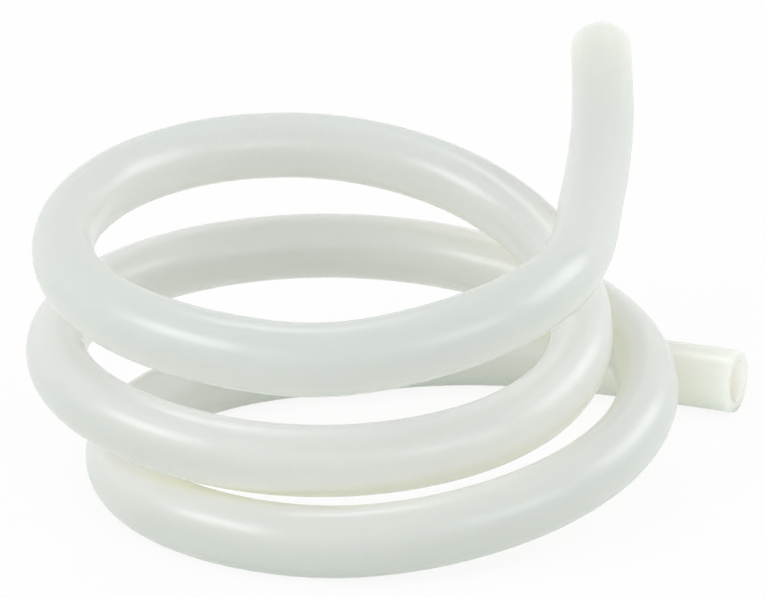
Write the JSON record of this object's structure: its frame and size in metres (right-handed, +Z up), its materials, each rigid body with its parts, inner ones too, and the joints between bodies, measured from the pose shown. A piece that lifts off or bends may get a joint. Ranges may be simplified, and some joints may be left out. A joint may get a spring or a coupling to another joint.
{
  "type": "silicone tubing coil",
  "caption": "Soft, milky silicone tube with a round bore, cut square at both ends and wound into a loose, open coil that lies on its bottom turn.",
  "frame": {"origin": "middle of the space that the tube takes up, on the surface that it lies on", "axes": "+Z up; +Y from the front of the coil to the free end, which runs back over it; +X to the right, towards the tail's end"},
  "size_m": [0.1361, 0.1465, 0.0609],
  "materials": {
    "silicone": "milky translucent, satin"
  },
  "bodies": {
    "root": {"tubing": "silicone"}
  },
  "joints": []
}
